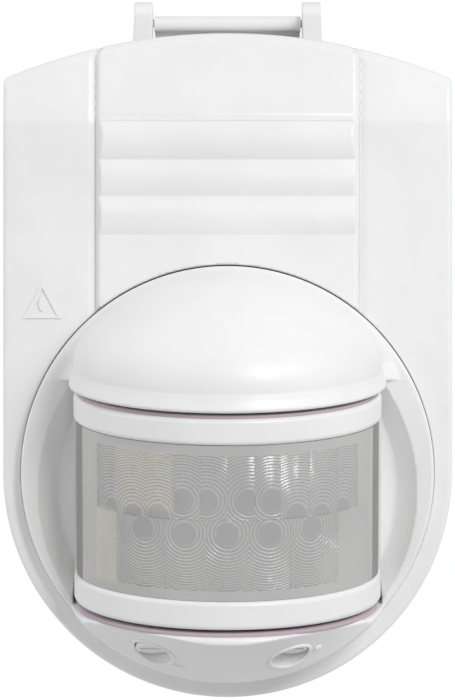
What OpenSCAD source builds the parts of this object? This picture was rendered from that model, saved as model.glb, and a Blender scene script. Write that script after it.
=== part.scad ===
// Outdoor wireless motion sensor: a hinged housing on a wall bracket, with a
// fixed round head that holds a rotating lens drum.
// Origin: on the wall face, midway between the two wall screws.
// X is to the right, -Y points out of the wall, Z is up.

/* [Body] */
// Width of the body
body_w = 88; // [84:1:92]
// Distance from the wall to the flat front face
face_y = 32; // [32:0.5:34]
// Height of the centre of the round lower end
round_z = -21.2; // [-22:0.1:-21]
// Height of the top of the arch
crest_z = 65.3; // [64:0.1:67]
// Radius of the arch
arch_r = 112; // [100:1:140]
// Height of the crease where the face starts to slope back
crease_z = 47.8; // [46:0.1:49]
// Slope of the upper face in degrees
slope = 12; // [8:0.5:13]
// Wall thickness of the covers
wall = 2.2; // [2:0.1:2.4]

/* [Panel] */
// Half width of the raised centre panel
panel_hw = 25.2; // [22:0.1:27]
// Height of the panel above the face
panel_h = 1.2; // [0.6:0.1:2]
// Height of one finger rib
rib_pitch = 7.4; // [6:0.1:8]
// Bulge of a finger rib above the panel
rib_bulge = 0.9; // [0.4:0.1:1.5]

/* [Hinge] */
// Distance of the hinge axis from the wall
hinge_y = 5.2; // [5:0.1:6]
// Height of the hinge axis
hinge_z = 68.6; // [68:0.1:70]
// Inner half distance between the ears
ear_x = 15; // [14:0.5:18]
// Thickness of an ear
ear_t = 3.7; // [3:0.1:5]
// Radius of an ear round the hinge axis
ear_r = 4.3; // [3.5:0.1:4.6]
// Radius of the hinge pin
pin_r = 0.8; // [0.7:0.05:0.85]

/* [Head] */
// Height of the centre of the head disc
head_z = -21.1; // [-21.5:0.1:-20.8]
// Radius of the head disc
head_r = 40.4; // [40:0.1:40.5]
// Distance from the wall to the ring face of the head
ring_y = 35.5; // [35:0.1:36]
// Height of the centre of the recess round the drum
recess_z = -24.6; // [-25:0.1:-24.2]
// Outer radius of the recess
recess_r = 37.1; // [36.8:0.1:37.4]
// Depth and slope width of the recess
recess_d = 4; // [3.5:0.1:4.2]
// Height of the hood above its brim
hood_h = 17.7; // [16:0.1:18]

/* [Drum] */
// Forward tilt of the drum axis in degrees
tilt = 9.6; // [9:0.1:10]
// Distance from the wall to the middle of the drum
drum_y = 39.3; // [39:0.1:41]
// Height of the middle of the drum
drum_z = -25.1; // [-25.4:0.1:-24.8]
// Radius of the drum rings
drum_r = 29.9; // [29.5:0.1:30]
// Outer radius of the lens
lens_r = 29.4; // [29:0.1:29.4]
// Height of the lens
lens_h = 30; // [29.8:0.1:30.2]
// Thickness of the lens
lens_t = 0.9; // [0.7:0.1:1.2]
// Half angle of the lens in degrees
lens_a = 72; // [68:1:74]
// Half angle of the lens and its side strips in degrees
strip_a = 92; // [88:1:94]

/* [Dials] */
// Sideways position of the time dial
time_x = -14.2; // [-15:0.1:-13]
// Sideways position of the daylight dial
lux_x = 12; // [11:0.1:15]
// Radius of a dial well
well_r = 3.65; // [3.4:0.05:3.8]

/* [Battery] */
// Radius of one battery cell
cell_r = 7.2; // [7:0.05:7.25]
// Length of one battery cell without its nub
cell_len = 49.3; // [49:0.1:49.5]
// Distance between two cell centres
cell_pitch = 15.2; // [15:0.1:15.4]
// Height of the middle cell
cell_z = 26.7; // [26.5:0.1:26.9]

/* [Bracket] */
// Thickness of the bracket plate
bracket_t = 2.6; // [2.2:0.1:2.6]
// Distance between the two wall screw holes
screw_pitch = 60; // [50:1:70]
// Radius of a wall screw hole
screw_r = 2.25; // [2:0.05:2.6]

/* [Hidden] */
$fn = 96;

// Colours
white = [0.94, 0.94, 0.93];
inner_white = [0.86, 0.87, 0.87];
rubber = [0.25, 0.25, 0.27];
steel = [0.72, 0.73, 0.75];
brass = [0.80, 0.66, 0.36];
board_green = [0.13, 0.40, 0.24];
chip_black = [0.12, 0.12, 0.13];
strip_grey = [0.58, 0.54, 0.50];
lens_milk = [0.80, 0.81, 0.80];

// Body
half_w = body_w / 2;
far = 200;
edge_chamfer = 0.7;
top_bevel = 1.4;
rear_y = 3;
rear_t = 1.8;
rear_in_y = rear_y + rear_t;
gasket_t = 0.8;
shell_y = rear_in_y + gasket_t;
face_in_y = face_y - wall;
crest_y = face_y - (crest_z - crease_z) * tan(slope);
head_gap = 0.3;

// Head, in the drum frame: U runs up the drum axis, -Y points out of the lens
drum_top = 20.2;
drum_bottom = -20.6;
hood_low = 21.7;
hood_plate = 1.5;
brim_r = 30.4;
brim_top = 25.2;
chin_top = -21.3;
chin_plate = 1.2;
chin_r = 30.5;
chin_start_y = 47.5;
chin_angle = 23.8;
shell_t = 2;
hole_clear = 0.6;
skirt_y = 24.4;
stub_r = 4.5;
stub_bore = 2.6;
run_gap = 0.06;
bush_r = 6;

// Dials
well_y = 53.8;
well_z = -56.2;
dial_tilt = 20;
well_depth = 3.7;
dial_r = 3.35;

// Battery bay and door
tray_hw = 29.8;
tray_wall = 1.2;
tray_back_y = 6.8;
tray_front_y = 22.6;
bay_low = cell_z - 1.5 * cell_pitch;
bay_high = cell_z + 1.5 * cell_pitch;
bay_hw = tray_hw - tray_wall;
cell_y = tray_back_y + 0.3 + cell_r;
ledge_w = 3.2;
door_t = 1.6;
door_gap = 0.2;
door_tab_x = 34.6;

// Lock at the lower end
lock_y = 13;
lock_tab_z = -57.5;
lock_tab_t = 2;
lock_tab_hw = 6;
lock_r = 1.5;

// Screw places as [x, z]
case_points = [for (s = [-1, 1]) each [[s * 38.6, 49], [s * 27.5, -48.5]]];
lug_angles = [35, 61, 119, 145];
lug_r = 45.2;
lug_y = 25;
lug_t = 2;
board_points = [for (s = [-1, 1]) each [[s * 22.5, 32], [s * 21, 56]]];
board_y = 24;
board_t = 1.2;

// Rear switches
switch_x = 36.8;
button_z = 40;
slider_z = 14;
slider_travel = 3;
switch_board_y = 11.5;

// Sensor inside the drum
sensor_board_y = 4.5;
sensor_board_t = 1.2;

// ---------- Helpers ----------

// Extrudes an X-Z outline from wall distance y0 to y1
module slab(y0, y1) {
    translate([0, -y0, 0]) rotate([90, 0, 0]) linear_extrude(y1 - y0) children();
}

// Cylinder along the wall normal from wall distance y0 to y1
module peg(x, z, y0, y1, r) {
    translate([x, -y0, z]) rotate([90, 0, 0]) cylinder(h = y1 - y0, r = r);
}

// Places children in the drum frame
module in_drum() {
    translate([0, -drum_y, drum_z]) rotate([tilt, 0, 0]) children();
}

// Places children at a dial: local Z points out of the well
module at_dial(x) {
    translate([x, -well_y, well_z]) rotate([180 - dial_tilt, 0, 0]) children();
}

module ring(r_out, r_in, h) {
    difference() {
        cylinder(h = h, r = r_out);
        translate([0, 0, -1]) cylinder(h = h + 2, r = r_in);
    }
}

// Pie slice of half angle a round the drum axis, pointing to the lens side
module wedge(a, h, r = 60) {
    linear_extrude(h, center = true)
        polygon(concat([[0, 0]], [for (i = [-4:4]) r * [sin(a * i / 4), -cos(a * i / 4)]]));
}

// Body outline in X-Z, moved inwards by inset
module outline(inset) {
    intersection() {
        union() {
            translate([0, round_z]) circle(half_w - inset, $fn = 180);
            translate([-half_w + inset, round_z]) square([body_w - 2 * inset, far]);
        }
        translate([0, crest_z - arch_r]) circle(arch_r - inset, $fn = 360);
    }
}

// Everything in front of the sloping upper face that starts at wall distance y
module slope_cut(y) {
    translate([0, -y, crease_z]) rotate([-slope, 0, 0]) translate([-far / 2, -far, 0])
        cube([far, far, far]);
}

// ---------- Wall bracket ----------

module bracket_outline() {
    difference() {
        union() {
            translate([-33, -38]) square([66, 88]);
            translate([-26, -46]) square([52, 109]);
            for (s = [-1, 1]) {
                translate([s * 26, -39]) circle(7);
                translate([s * 27, 50]) circle(6);
            }
            translate([-8, lock_tab_z]) square([16, 20]);
            translate([-ear_x + 0.4, 60]) square([2 * ear_x - 0.8, hinge_z - 60]);
        }
        for (s = [-1, 1]) translate([0, s * screw_pitch / 2]) circle(screw_r);
    }
}

module wall_bracket() {
    barrel_r = 1.46;
    barrel_l = 2 * ear_x - 0.6;
    color(white) difference() {
        union() {
            slab(0, bracket_t) bracket_outline();
            // hinge barrel on its web
            translate([-barrel_l / 2, -hinge_y, hinge_z]) rotate([0, 90, 0])
                cylinder(h = barrel_l, r = barrel_r);
            slab(0, hinge_y) translate([-barrel_l / 2, hinge_z - barrel_r])
                square([barrel_l, 2 * barrel_r]);
            // slotted lock tab
            slab(0, lock_y + 4) translate([-lock_tab_hw, lock_tab_z])
                square([2 * lock_tab_hw, lock_tab_t]);
        }
        translate([-far / 2, -hinge_y, hinge_z]) rotate([0, 90, 0])
            cylinder(h = far, r = pin_r + run_gap);
        // countersinks for the wall screws
        for (s = [-1, 1]) translate([0, -bracket_t - 0.01, s * screw_pitch / 2])
            rotate([-90, 0, 0]) cylinder(h = 1.8, r1 = screw_r + 2, r2 = screw_r);
        // open slot for the lock screw
        translate([0, -lock_y, lock_tab_z - 1]) cylinder(h = lock_tab_t + 2, r = lock_r + 0.2);
        translate([-lock_r - 0.2, -lock_y - 6, lock_tab_z - 1])
            cube([2 * lock_r + 0.4, 6, lock_tab_t + 2]);
    }
}

module hinge_pin() {
    pin_l = 2 * (ear_x + ear_t) - 0.6;
    color(steel) translate([-pin_l / 2, -hinge_y, hinge_z]) rotate([0, 90, 0])
        cylinder(h = pin_l, r = pin_r);
}

// ---------- Front cover ----------

// Straight upper part and round lower part, with a chamfered front edge
module cover_block() {
    c = edge_chamfer;
    translate([0, -shell_y, round_z]) rotate([90, 0, 0]) {
        cylinder(h = face_y - shell_y - c, r = half_w, $fn = 180);
        translate([0, 0, face_y - shell_y - c - 0.01])
            cylinder(h = c + 0.01, r1 = half_w, r2 = half_w - c, $fn = 180);
    }
    translate([0, 0, round_z]) linear_extrude(far)
        polygon([[-half_w, -shell_y], [-half_w, -face_y + c], [-half_w + c, -face_y],
                 [half_w - c, -face_y], [half_w, -face_y + c], [half_w, -shell_y]]);
}

// Panel cross-section in X-Y, with slanted flanks
module panel_section(h) {
    polygon([[-panel_hw - h - 1, 1], [-panel_hw, -h], [panel_hw, -h], [panel_hw + h + 1, 1]]);
}

module panel() {
    translate([0, -face_y, 8]) linear_extrude(crease_z - 8) panel_section(panel_h);
    translate([0, -face_y, crease_z]) rotate([-slope, 0, 0]) translate([0, 0, -0.3])
        linear_extrude(30) panel_section(panel_h);
    // finger ribs
    rib_r = (pow(rib_pitch / 2, 2) + pow(rib_bulge, 2)) / (2 * rib_bulge);
    intersection() {
        for (i = [0:2])
            translate([0, -face_y - panel_h - rib_bulge + rib_r, crease_z - rib_pitch * (i + 0.5)])
                rotate([0, 90, 0]) cylinder(h = body_w, r = rib_r, center = true);
        translate([0, -face_y, crease_z - 3 * rib_pitch]) linear_extrude(3 * rib_pitch)
            panel_section(panel_h + rib_bulge);
    }
}

// One hinge ear: round top on a foot that runs forward over the arch
module ear() {
    foot_z = 62.6;
    rotate([90, 0, 90]) linear_extrude(ear_t, center = true) {
        translate([-hinge_y, hinge_z]) circle(ear_r);
        polygon([[-shell_y - 0.2, hinge_z], [-shell_y - 0.2, foot_z], [-24.5, foot_z],
                 [-26, 63.4], [-hinge_y - ear_r * 0.9, hinge_z + ear_r * 0.43]]);
    }
}

module cover_outside() {
    intersection() {
        union() {
            difference() {
                cover_block();
                slope_cut(face_y);
            }
            panel();
        }
        translate([0, 0, crest_z - arch_r]) rotate([90, 0, 0]) cylinder(h = far, r = arch_r, $fn = 360);
        // bevel along the arch, square to the sloping face
        bevel_back = 70;
        bevel_front = 3;
        translate([0, -crest_y, crest_z]) rotate([-slope, 0, 0]) translate([0, bevel_back, -arch_r])
            rotate([90, 0, 0]) cylinder(h = bevel_back + bevel_front, r1 = arch_r - top_bevel + bevel_back,
                                        r2 = arch_r - top_bevel - bevel_front, $fn = 360);
    }
    for (s = [-1, 1]) translate([s * (ear_x + ear_t / 2), 0, 0]) ear();
}

module cover_inside() {
    difference() {
        slab(shell_y - 1, face_in_y) outline(wall);
        slope_cut(face_in_y);
    }
}

// Raised triangle with an oval pip: a plain splash-proof symbol
module emblem() {
    apex_z = 16.1;
    base_z = 9.1;
    half_base = 3.8;
    stroke = 0.5;
    slab(face_y - 0.1, face_y + 0.35) translate([-36.3, 0]) {
        difference() {
            polygon([[0, apex_z], [-half_base, base_z], [half_base, base_z]]);
            polygon([[0, apex_z - 2.2 * stroke], [-half_base + 1.8 * stroke, base_z + stroke],
                     [half_base - 1.8 * stroke, base_z + stroke]]);
        }
        translate([0, base_z + 2.9]) scale([0.55, 1]) circle(1.5);
    }
}

module front_cover() {
    boss_r = 3.4;
    color(white) difference() {
        union() {
            difference() {
                cover_outside();
                cover_inside();
            }
            emblem();
            intersection() {
                union() {
                    for (p = case_points) peg(p[0], p[1], shell_y + 1, 20, boss_r);
                    // screw posts for the head and the main board
                    for (a = lug_angles)
                        peg(lug_r * cos(a), head_z + lug_r * sin(a), lug_y + lug_t, face_in_y + 0.5, 2.6);
                    for (p = board_points) peg(p[0], p[1], board_y + board_t, face_in_y + 0.5, 1.7);
                    // boss for the lock screw
                    translate([0, -lock_y, -64.5]) cylinder(h = 64.5 - 60.2, r = 4.4);
                }
                difference() {
                    slab(0, face_y - 0.5) outline(0.5);
                    slope_cut(face_y - 0.5);
                }
            }
        }
        // opening for the head
        peg(0, head_z, lug_y + lug_t - 1, far, head_r + head_gap);
        // screw holes
        for (p = case_points) peg(p[0], p[1], 0, 18, 1.3);
        for (a = lug_angles)
            peg(lug_r * cos(a), head_z + lug_r * sin(a), 0, face_in_y + 0.8, 1);
        for (p = board_points) peg(p[0], p[1], 0, board_y + board_t + 1.5, 0.8);
        translate([0, -lock_y, -70]) cylinder(h = 20, r = lock_r + 0.1);
        translate([0, -lock_y, -70]) cylinder(h = 70 - 63.6, r = 3.1);
        // hinge pin
        translate([-far / 2, -hinge_y, hinge_z]) rotate([0, 90, 0]) cylinder(h = far, r = pin_r + 0.005);
    }
}

// ---------- Rear cover ----------

module bay_square(grow) {
    translate([-bay_hw - grow, bay_low - grow]) square([2 * (bay_hw + grow), bay_high - bay_low + 2 * grow]);
}

module door_outline(grow) {
    bay_square(ledge_w - 0.8 + grow);
    translate([-door_tab_x - 3 - grow, cell_z - 4 - grow])
        square([2 * (door_tab_x + 3 + grow), 8 + 2 * grow]);
}

module rear_cover() {
    cup_hw = lock_tab_hw + 1.4;
    cup_low = lock_tab_z - 1.5;
    cup_high = lock_tab_z + lock_tab_t + 1.5;
    cup_t = 1.2;
    color(white) difference() {
        union() {
            slab(rear_y, rear_in_y) outline(0.3);
            // tongue that centres the two covers
            slab(rear_in_y - 0.1, 8) difference() {
                outline(wall + 0.3);
                outline(wall + 1.5);
            }
            // frame round the battery opening
            slab(rear_in_y - 0.1, tray_back_y) bay_square(ledge_w);
            slab(rear_in_y - 0.1, tray_back_y) translate([-door_tab_x - 4.2, cell_z - 5.2])
                square([2 * (door_tab_x + 4.2), 10.4]);
            for (s = [-1, 1]) peg(s * door_tab_x, cell_z, tray_back_y - 1, 11, 2.6);
            for (p = case_points) peg(p[0], p[1], rear_y, shell_y + 0.8, 2.9);
            // pocket that takes the lock tab of the bracket
            slab(rear_in_y - 0.1, lock_y + 7) translate([-cup_hw - cup_t, cup_low - cup_t])
                square([2 * (cup_hw + cup_t), cup_high - cup_low + 2 * cup_t]);
            // posts for the switch board
            for (z = [6, 33.5]) peg(switch_x, z, rear_in_y - 0.1, switch_board_y, 1.5);
        }
        slab(0, far) bay_square(0);
        // rebate for the door
        slab(0, rear_y + door_t + 0.6) door_outline(door_gap);
        for (s = [-1, 1]) peg(s * door_tab_x, cell_z, 0, 10, 1);
        // pocket
        slab(0, lock_y + 7 - cup_t) translate([-cup_hw, cup_low])
            square([2 * cup_hw, cup_high - cup_low]);
        translate([0, -lock_y, -62]) cylinder(h = 14, r = lock_r + 0.1);
        // screw heads and shafts, and room for the bosses of the front cover
        for (p = case_points) {
            peg(p[0], p[1], 0, rear_y + 1.7, 2.5);
            peg(p[0], p[1], 0, 10, 1.4);
            peg(p[0], p[1], shell_y + 0.8, 10, 3.6);
        }
        // learn button and mode slider
        peg(switch_x, button_z, 0, rear_in_y + 1, 2.55);
        slab(0, rear_in_y + 1) translate([switch_x - 1.2, slider_z - slider_travel / 2 - 1.4])
            square([2.4, slider_travel + 2.8]);
    }
}

module case_gasket() {
    color(rubber) slab(rear_in_y, shell_y) difference() {
        outline(0.5);
        outline(1.9);
    }
}

// Screw along the wall normal: head at wall distance y, shaft going forward
module screw(x, z, y, head_r, head_h, shaft_r, shaft_l) {
    difference() {
        peg(x, z, y, y + head_h, head_r);
        // cross recess
        for (a = [0, 90]) translate([x, -y + 0.01, z]) rotate([90, a, 0])
            translate([-head_r * 0.6, -0.25, 0]) cube([head_r * 1.2, 0.5, head_h * 0.5]);
    }
    peg(x, z, y + head_h - 0.01, y + head_h + shaft_l, shaft_r);
}

module case_screws() {
    color(steel) for (p = case_points) screw(p[0], p[1], rear_y + 0.3, 2.3, 1.4, 1.25, 11);
}

module lock_screw() {
    color(steel) difference() {
        translate([0, -lock_y, -65]) {
            cylinder(h = 1.4, r = 2.8);
            cylinder(h = 65 - 50.8, r = lock_r);
        }
        translate([-2, -lock_y - 0.4, -65.1]) cube([4, 0.8, 0.8]);
    }
}

module lock_nut() {
    nut_low = lock_tab_z + lock_tab_t + 1.5 + 1.2;
    color(steel) difference() {
        translate([-2.8, -lock_y - 2.8, nut_low]) cube([5.6, 5.6, 2.2]);
        translate([0, -lock_y, nut_low - 1]) cylinder(h = 5, r = lock_r + 0.005);
    }
}

// ---------- Battery bay ----------

module battery_tray() {
    color(inner_white) difference() {
        slab(tray_back_y, tray_front_y) bay_square(tray_wall);
        slab(tray_back_y - 1, tray_front_y - 0.9) bay_square(0);
        // windows in the front wall
        for (i = [-1:1]) slab(0, far) translate([-18, cell_z + i * cell_pitch - 3]) square([36, 6]);
    }
}

// i is -1, 0 or 1; the middle cell lies the other way round
module battery_cell(i) {
    dir = (i == 0) ? -1 : 1;
    nub = 1.2;
    shift = dir * 1.7;
    translate([shift, -cell_y, cell_z + i * cell_pitch]) rotate([0, dir * 90, 0]) {
        color([0.18, 0.20, 0.24]) translate([0, 0, -cell_len / 2]) cylinder(h = cell_len * 0.72, r = cell_r);
        color(brass) translate([0, 0, cell_len * 0.22 - 0.01])
            cylinder(h = cell_len * 0.28 - 0.8, r = cell_r - 0.01);
        color(steel) translate([0, 0, cell_len / 2 - 0.9]) {
            cylinder(h = 0.9, r = cell_r - 0.8);
            cylinder(h = 0.9 + nub, r = 2.7);
        }
    }
}

module battery_cell_1() { battery_cell(-1); }
module battery_cell_2() { battery_cell(0); }
module battery_cell_3() { battery_cell(1); }

// Wire wound along Z from radius r0 to r1 over height h
module coil(r0, r1, h, turns, wire) {
    sides = 6;
    steps = turns * 18;
    points = [for (i = [0:steps], k = [0:sides - 1])
        let (a = 360 * turns * i / steps, r = r0 + (r1 - r0) * i / steps + wire * cos(360 * k / sides))
        [r * cos(a), r * sin(a), h * i / steps + wire * sin(360 * k / sides)]];
    walls = [for (i = [0:steps - 1], k = [0:sides - 1])
        let (n = (k + 1) % sides, low = i * sides, high = (i + 1) * sides)
        [low + k, low + n, high + n, high + k]];
    ends = [[for (k = [sides - 1:-1:0]) k], [for (k = [0:sides - 1]) steps * sides + k]];
    polyhedron(points, concat(walls, ends));
}

// Coil springs against the negative ends, each on a foot plate
module battery_springs() {
    foot = 0.4;
    wire = 0.35;
    spring_l = bay_hw - 23.1;
    color(steel) for (i = [-1:1]) {
        dir = (i == 0) ? -1 : 1;
        translate([-dir * (bay_hw - 0.02), -cell_y, cell_z + i * cell_pitch]) rotate([0, dir * 90, 0]) {
            translate([-5, -5, 0]) cube([10, 10, foot]);
            translate([0, 0, foot + wire * 0.7]) coil(4.6, 3, spring_l - foot - 2 * wire, 4, wire);
        }
    }
}

module battery_contacts() {
    plate_t = 0.4;
    color(steel) for (i = [-1:1]) {
        dir = (i == 0) ? -1 : 1;
        translate([dir * (bay_hw - 0.02), -cell_y, cell_z + i * cell_pitch]) rotate([0, -dir * 90, 0]) {
            translate([-4, -5, 0]) cube([8, 10, plate_t]);
            cylinder(h = 1, r = 2.4);
        }
    }
}

module battery_door() {
    color(white) difference() {
        union() {
            slab(rear_y, rear_y + door_t) door_outline(0);
            // stiffening ribs on the inside, between the cells
            for (i = [-0.5, 0.5]) slab(rear_y + door_t - 0.1, tray_back_y + 1.2)
                translate([-24, cell_z + i * cell_pitch - 0.5]) square([48, 1]);
        }
        for (s = [-1, 1]) {
            peg(s * door_tab_x, cell_z, 0, 10, 1.15);
            translate([s * door_tab_x, -rear_y + 0.01, cell_z]) rotate([90, 0, 0])
                cylinder(h = 1.2, r1 = 2.3, r2 = 1.15);
        }
        // finger groove
        slab(0, rear_y + 0.6) translate([-8, bay_low + 2]) square([16, 2]);
    }
}

module door_gasket() {
    color(rubber) slab(rear_y + door_t, rear_y + door_t + 0.6) difference() {
        bay_square(ledge_w - 1);
        bay_square(0.8);
    }
}

module door_screws() {
    color(steel) for (s = [-1, 1]) translate([s * door_tab_x, -rear_y - 0.05, cell_z]) rotate([90, 0, 0])
        difference() {
            union() {
                cylinder(h = 1.15, r1 = 2.2, r2 = 1);
                cylinder(h = 6.5, r = 0.95);
            }
            translate([-1.6, -0.3, -0.1]) cube([3.2, 0.6, 0.6]);
        }
}

// ---------- Main electronics ----------

module main_board() {
    color(board_green) difference() {
        slab(board_y, board_y + board_t) intersection() {
            translate([-25, 28.8]) square([50, 30]);
            outline(wall + 2.6);
        }
        for (p = board_points) peg(p[0], p[1], 0, far, 1.1);
    }
    // lead socket at the lower edge
    color(inner_white) slab(board_y + board_t - 0.01, board_y + board_t + 2) difference() {
        translate([-4, 29]) square([8, 4]);
        translate([-1.45, 28]) square([2.9, 4.2]);
    }
}

module board_screws() {
    color(steel) for (p = board_points) screw(p[0], p[1], board_y - 1, 1.6, 1, 0.75, 2.4);
}

module controller_chip() {
    chip = 7;
    front = board_y + board_t;
    translate([8, 0, 43]) {
        color(chip_black) slab(front + 0.2, front + 1.3) square(chip, center = true);
        color(steel) for (i = [-3:3], s = [-1, 1]) {
            translate([s * (chip / 2 + 0.4), -front - 0.2, i]) cube([1.2, 0.4, 0.4], center = true);
            translate([i, -front - 0.2, s * (chip / 2 + 0.4)]) cube([0.4, 0.4, 1.2], center = true);
        }
        color(chip_black) slab(front, front + 0.25) square(chip - 1, center = true);
    }
}

module radio_module() {
    front = board_y + board_t;
    translate([-12, 0, 45]) {
        color([0.10, 0.25, 0.45]) slab(front, front + 0.8) square([16, 12], center = true);
        color(steel) slab(front + 0.79, front + 2) translate([-1, 0]) square([11, 9], center = true);
    }
}

// Wire coil above the battery tray, on two legs from the board
module antenna_coil() {
    coil_r = 2.2;
    wire = 0.35;
    coil_l = 13;
    coil_y = board_y - 4.5;
    coil_z = 55.6;
    color(brass) {
        translate([-coil_l / 2, -coil_y, coil_z]) rotate([0, 90, 0]) rotate([0, 0, -90])
            coil(coil_r, coil_r, coil_l, 9, wire);
        for (s = [-1, 1]) peg(s * coil_l / 2, coil_z, coil_y + coil_r - 0.2, board_y, wire);
    }
}

module capacitor() {
    color([0.15, 0.20, 0.40]) peg(14, 56, board_y - 9, board_y, 3.1);
    color(steel) peg(14, 56, board_y - 9.3, board_y - 8.99, 2.6);
}

// ---------- Rear switches ----------

module switch_board() {
    color(board_green) difference() {
        slab(switch_board_y, switch_board_y + 1) translate([32.6, 3]) square([7.2, 42]);
        // slot for the header to the main board
        slab(0, far) translate([33.2, 22]) square([1, 6]);
    }
}

module push_switch() {
    color(chip_black) slab(7.5, switch_board_y) translate([switch_x - 3, button_z - 3]) square(6);
}

module learn_button() {
    color([0.75, 0.25, 0.20]) {
        peg(switch_x, button_z, rear_y + 0.2, 6.9, 2.4);
        peg(switch_x, button_z, rear_in_y + 0.1, rear_in_y + 0.9, 3.1);
    }
}

module slide_switch() {
    color(steel) slab(8, switch_board_y) translate([switch_x - 2, slider_z - 4.4]) square([4, 8.8]);
}

module mode_slider() {
    low = slider_z - slider_travel / 2;
    color(chip_black) {
        slab(rear_y + 0.3, 7.4) translate([switch_x - 1, low - 1]) square(2);
        slab(7.2, 7.95) translate([switch_x - 1.6, low - 2]) square([3.2, 4]);
    }
}

// ---------- Head shell ----------

// Hood profile as radius and U, moved inwards by t: rounded brim lip, side arc and top arc
module hood_profile(t) {
    lip_r = (brim_top - hood_low) / 2;
    dome_r = brim_r - 0.5;
    side_r = 10;
    top_r = (pow(dome_r - side_r, 2) + pow(hood_h, 2) - pow(side_r, 2)) / (2 * (hood_h - side_r));
    side_c = [dome_r - side_r, brim_top];
    top_c = [0, brim_top + hood_h - top_r];
    beyond = side_c + 2 * (side_c - top_c);
    intersection() {
        union() {
            intersection() {
                translate(top_c) circle(top_r - t, $fn = 240);
                polygon([[0, brim_top - 1], side_c, beyond, [0, beyond[1]]]);
            }
            translate(side_c) circle(side_r - t, $fn = 120);
            translate([0, hood_low]) square([dome_r - t, brim_top - hood_low]);
            if (t == 0) translate([brim_r - lip_r, hood_low + lip_r]) circle(lip_r, $fn = 48);
        }
        translate([0, hood_low]) square([far, far]);
    }
}

// The hood's profile turned round the drum axis in front and run straight back behind it
module hood_solid(t) {
    run_back = (t == 0) ? 18 : 13.5;
    in_drum() {
        rotate_extrude($fn = 180) hood_profile(t);
        rotate([-90, 0, 0]) linear_extrude(run_back) mirror([0, 1]) {
            hood_profile(t);
            mirror([1, 0]) hood_profile(t);
            translate([-0.1, hood_low]) square([0.2, brim_top - hood_low]);
        }
    }
}

// Chin: barrel and cone about the head's centre line, cut to the drum's lip
module chin_solid(t) {
    cone_l = 26;
    intersection() {
        translate([0, 0, head_z]) rotate([90, 0, 0]) {
            cylinder(h = chin_start_y, r = head_r - t, $fn = 180);
            translate([0, 0, chin_start_y - 0.01])
                cylinder(h = cone_l, r1 = head_r - t, r2 = head_r - t - cone_l * tan(chin_angle), $fn = 180);
        }
        in_drum() translate([0, 0, chin_top - (t > 0 ? chin_plate : 0) - 30]) linear_extrude(30) {
            circle(chin_r - t, $fn = 180);
            translate([-chin_r + t, 0]) square([2 * (chin_r - t), 30]);
        }
        translate([-far / 2, -far - skirt_y + 1, -far / 2]) cube([far, far, far]);
    }
}

// Space between the hood and the chin, in the drum frame
module mouth(low, high) {
    in_drum() translate([-far / 2, -far / 2, low]) cube([far, far, high - low]);
}

module recess_cone(t) {
    deep_r = recess_r - recess_d + t * (sqrt(2) - 1);
    translate([0, -ring_y + recess_d + t, recess_z]) rotate([90, 0, 0])
        cylinder(h = far, r1 = deep_r, r2 = deep_r + far, $fn = 180);
}

module head_outside() {
    difference() {
        union() {
            peg(0, head_z, skirt_y, ring_y - 0.6, head_r);
            translate([0, -ring_y + 0.61, head_z]) rotate([90, 0, 0])
                cylinder(h = 0.61, r1 = head_r, r2 = head_r - 0.6, $fn = 180);
            peg(0, head_z, face_in_y - 2.2, face_in_y, head_r + 1.1);
            difference() {
                union() {
                    hood_solid(0);
                    chin_solid(0);
                }
                translate([-far / 2, -ring_y + 1, -far / 2]) cube([far, far, far]);
            }
            // lugs for the screws
            for (a = lug_angles) slab(lug_y, lug_y + lug_t) translate([0, head_z]) {
                translate(lug_r * [cos(a), sin(a)]) circle(2.8);
                rotate(a) translate([head_r - 1.5, -2.8]) square([lug_r - head_r + 1.5, 5.6]);
            }
        }
        // the recess leaves only hood and chin in front of the ring
        intersection() {
            mouth(chin_top, hood_low);
            union() {
                recess_cone(0);
                slab(ring_y, far) square(far, center = true);
            }
        }
    }
}

module head_inside() {
    difference() {
        union() {
            peg(0, head_z, skirt_y - 1, ring_y - shell_t, head_r - shell_t);
            difference() {
                hood_solid(shell_t);
                mouth(-far, hood_low + hood_plate);
            }
            chin_solid(shell_t);
        }
        // walls that close the recess and the two plates over and under the drum
        intersection() {
            mouth(chin_top - chin_plate, hood_low + hood_plate);
            recess_cone(1.6);
        }
        intersection() {
            union() {
                mouth(hood_low, hood_low + hood_plate);
                mouth(chin_top - chin_plate, chin_top);
            }
            slab(29, far) square(far, center = true);
        }
    }
}

module head_shell() {
    way_r = drum_r + hole_clear;
    floor_t = 1.6;
    color(white) difference() {
        union() {
            difference() {
                head_outside();
                head_inside();
                // way for the drum
                in_drum() translate([0, 0, chin_top]) cylinder(h = hood_low - chin_top, r = way_r);
                intersection() {
                    mouth(chin_top, hood_low);
                    slab(0, ring_y - recess_d - floor_t) translate([-way_r, -60])
                        square([2 * way_r, 80]);
                }
            }
            for (x = [time_x, lux_x]) well_wall(x);
        }
        for (x = [time_x, lux_x]) well_space(x);
        in_drum() for (u = [hood_low - 1, chin_top - 4]) translate([0, 0, u])
            cylinder(h = 5, r = bush_r + 0.01);
        for (a = lug_angles)
            peg(lug_r * cos(a), head_z + lug_r * sin(a), 0, lug_y + lug_t + 0.5, 1.15);
        // notch for the lead
        translate([-2.2, -28.6, 14]) cube([4.4, 8, 9]);
    }
}

// Tube round a dial, standing a little proud of the chin as a rim
module well_wall(x) {
    rim_h = 0.5;
    intersection() {
        at_dial(x) translate([0, 0, -well_depth - 0.6]) cylinder(h = well_depth + 8, r = well_r + 0.9);
        chin_solid(-rim_h);
    }
}

module well_space(x) {
    at_dial(x) {
        translate([0, 0, -well_depth]) cylinder(h = well_depth + 12, r = well_r);
        translate([0, 0, -well_depth - 2]) cylinder(h = 3, r = 1.25);
    }
}

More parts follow.
